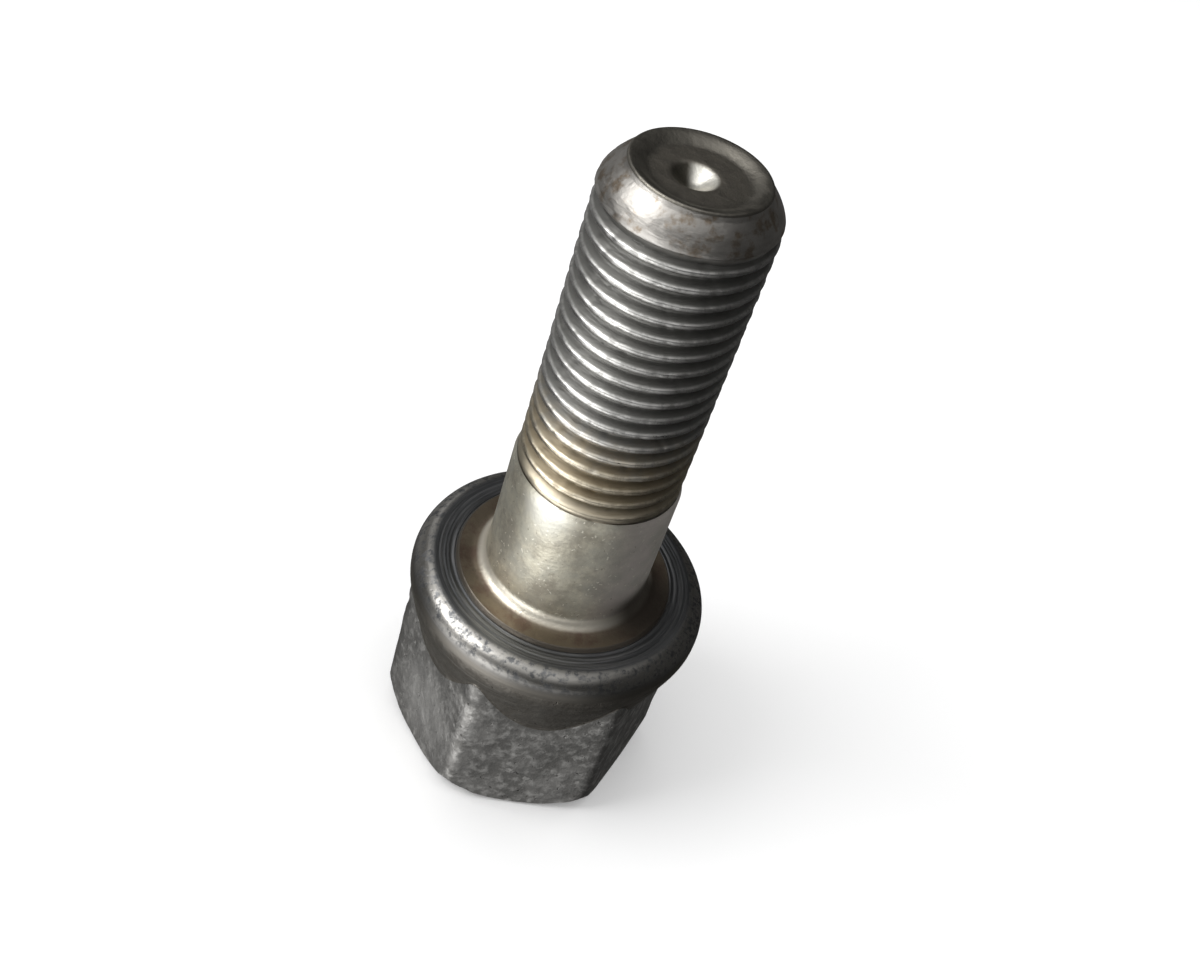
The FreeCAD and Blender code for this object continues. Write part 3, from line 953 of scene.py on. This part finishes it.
camera = bpy.data.objects.new("camera", bpy.data.cameras.new("camera"))
bpy.context.scene.collection.objects.link(camera)
eye = Vector((CAMERA_AWAY * math.cos(CAMERA_TURN), CAMERA_AWAY * math.sin(CAMERA_TURN), CAMERA_HEIGHT))
look = (CAMERA_AIM - eye).to_track_quat("-Z", "Y").to_matrix().to_4x4()
camera.matrix_world = Matrix.Translation(eye * MM) @ look @ Matrix.Rotation(CAMERA_ROLL, 4, "Z")
camera.data.lens = CAMERA_LENS
camera.data.sensor_width = 36.0
camera.data.clip_start = 0.005
bpy.context.scene.camera = camera
print("camera stands", round((eye - CAMERA_AIM).length), "mm from the bolt")

# %% [markdown]
# ## Floor
# The bolt stands on a plain pale sheet. The sheet is kept out of mirror reflections, so that the metal
# shows the studio's own light and dark sides instead of a flat white.

# %% Floor
FLOOR_HALF = 2.0
FLOOR_CORNERS = ((-1, -1), (1, -1), (1, 1), (-1, 1))
floor_mesh = bpy.data.meshes.new("floor")
floor_mesh.from_pydata([(x * FLOOR_HALF, y * FLOOR_HALF, 0) for x, y in FLOOR_CORNERS], [], [(0, 1, 2, 3)])
floor = bpy.data.objects.new("floor", floor_mesh)
bpy.context.scene.collection.objects.link(floor)
paper = bpy.data.materials.new("pale_floor")
paper.use_nodes = True
paper.node_tree.nodes["Principled BSDF"].inputs["Base Color"].default_value = (0.9, 0.9, 0.9, 1)
paper.node_tree.nodes["Principled BSDF"].inputs["Roughness"].default_value = 0.9
floor_mesh.materials.append(paper)
floor.visible_glossy = False
print("floor:", 2 * FLOOR_HALF, "m wide")


# %% [markdown]
# ## Light
# Metal shows what stands round it, so the studio is described as a picture of light and dark sides: a
# bright upright strip in front on the left, a faint one behind, some broad soft lights, most of them
# above on the left, and almost nothing on the right. Mirror rays see that picture, also below the level
# of the floor. The camera and the floor see plain white, so the ground stays pale and even. One softbox
# on the left adds the soft shadow.

# %% Soft light
def aim(turn, rise):
    """Unit vector for a compass angle and a rise in degrees."""
    turn, rise = math.radians(turn), math.radians(rise)
    return Vector((math.cos(turn) * math.cos(rise), math.sin(turn) * math.cos(rise), math.sin(rise)))


def softbox(name, turn, rise, away, size, power):
    """A square soft light that faces the middle of the bolt."""
    lamp = bpy.data.lights.new(name, "AREA")
    lamp.size = size
    lamp.energy = power
    box = bpy.data.objects.new(name, lamp)
    bpy.context.scene.collection.objects.link(box)
    way = aim(turn, rise)
    turned = (-way).to_track_quat("-Z", "Y").to_matrix().to_4x4()
    box.matrix_world = Matrix.Translation(Vector((0, 0, TIP_Z * 0.5 * MM)) + way * away) @ turned
    print(name, "stands", away, "m away")


softbox("key_softbox", turn=-172, rise=44, away=0.5, size=0.27, power=1.3)

# %% The studio's strips and broad lights
STRIPS = ((-140, 6, 36, 2.45), (125, 5, 40, 0.17))    # compass angle, full to, gone at, brightness
STRIP_FOOT, STRIP_FULL = -57, -28              # the strips fade out downwards between these rises
STRIP_EASE, STRIP_TOP = 0, 22                  # and upwards between these
LOBES = ((-165, 50, 10, 34, 0.42), (178, 70, 5, 26, 0.6), (138, 56, 6, 22, 0.8), (114, 22, 5, 16, 0.5),
         (-150, 78, 15, 55, 0.4), (-85, 58, 8, 28, 0.35), (-85, -14, 8, 26, 0.45),
         (-120, -42, 15, 62, 0.3))             # compass angle, rise, full to, gone at, brightness
FILL = 0.01

world = bpy.data.worlds.new("studio")
bpy.context.scene.world = world
world.use_nodes = True
tree = world.node_tree
way = add(tree, "ShaderNodeTexCoord").outputs["Generated"]
split = add(tree, "ShaderNodeSeparateXYZ", {0: way}).outputs
level = add(tree, "ShaderNodeCombineXYZ", {"X": split["X"], "Y": split["Y"]}).outputs[0]
level = vector_calc(tree, "NORMALIZE", level)["Vector"]
foot, full, ease, top = (math.sin(math.radians(x)) for x in (STRIP_FOOT, STRIP_FULL, STRIP_EASE, STRIP_TOP))
in_band = calc(tree, "MULTIPLY", ramp(tree, split["Z"], foot, full, smooth=False),
               ramp(tree, split["Z"], top, ease))


def glow(source, turn, rise, full, gone, strength):
    """Light that is strongest towards one direction and fades out round it."""
    towards = vector_calc(tree, "DOT_PRODUCT", source, aim(turn, rise))["Value"]
    return ramp(tree, towards, math.cos(math.radians(gone)), math.cos(math.radians(full)), 0.0, strength)


# %% Light the studio
light = FILL
for lobe in LOBES:
    light = calc(tree, "ADD", glow(way, *lobe), light)
for turn, full, gone, strength in STRIPS:
    light = calc(tree, "MULTIPLY_ADD", glow(level, turn, 0, full, gone, strength), in_band, light)
mirror_ray = add(tree, "ShaderNodeLightPath").outputs["Is Glossy Ray"]
seen = calc(tree, "MULTIPLY_ADD", mirror_ray, calc(tree, "SUBTRACT", light, 1.0), 1.0)
feed(tree, tree.nodes["Background"].inputs["Strength"], seen)
tree.nodes["Background"].inputs["Color"].default_value = (1, 1, 1, 1)
bpy.context.scene.view_settings.view_transform = "Standard"
print("studio:", len(STRIPS), "strips and", len(LOBES), "broad lights")
